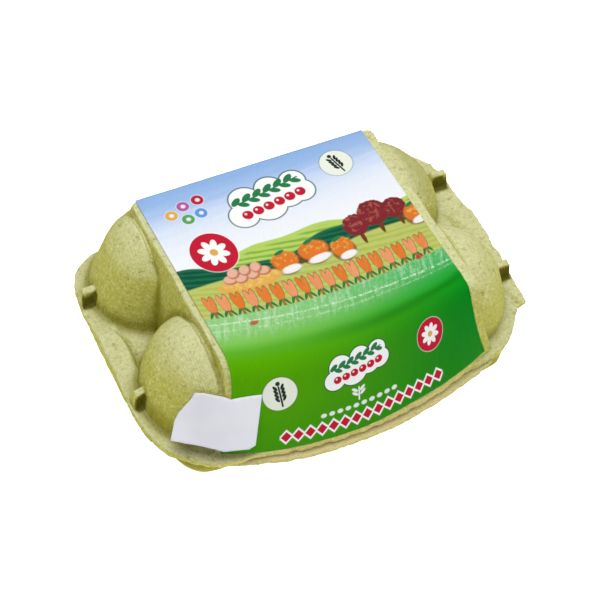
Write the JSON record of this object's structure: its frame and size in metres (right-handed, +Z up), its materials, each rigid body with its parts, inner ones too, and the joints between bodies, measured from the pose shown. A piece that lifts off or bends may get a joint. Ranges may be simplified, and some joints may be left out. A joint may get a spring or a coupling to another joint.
{
  "type": "egg carton",
  "caption": "Shut moulded-pulp egg carton with domed lid, flanged rim, cupped tray, paper label over the top and front, and a small blank sticker",
  "frame": {"origin": "on the ground below the middle of the bounding box", "axes": "+X along the box to the right, +Y to the hinge at the rear, +Z up; the label's printed panel faces -Y"},
  "size_m": [0.1509, 0.116, 0.0649],
  "materials": {
    "pulp": "matt",
    "label": "satin",
    "sticker": "satin"
  },
  "bodies": {
    "root": {"carton": "pulp", "label": "label", "sticker": "sticker"}
  },
  "joints": []
}
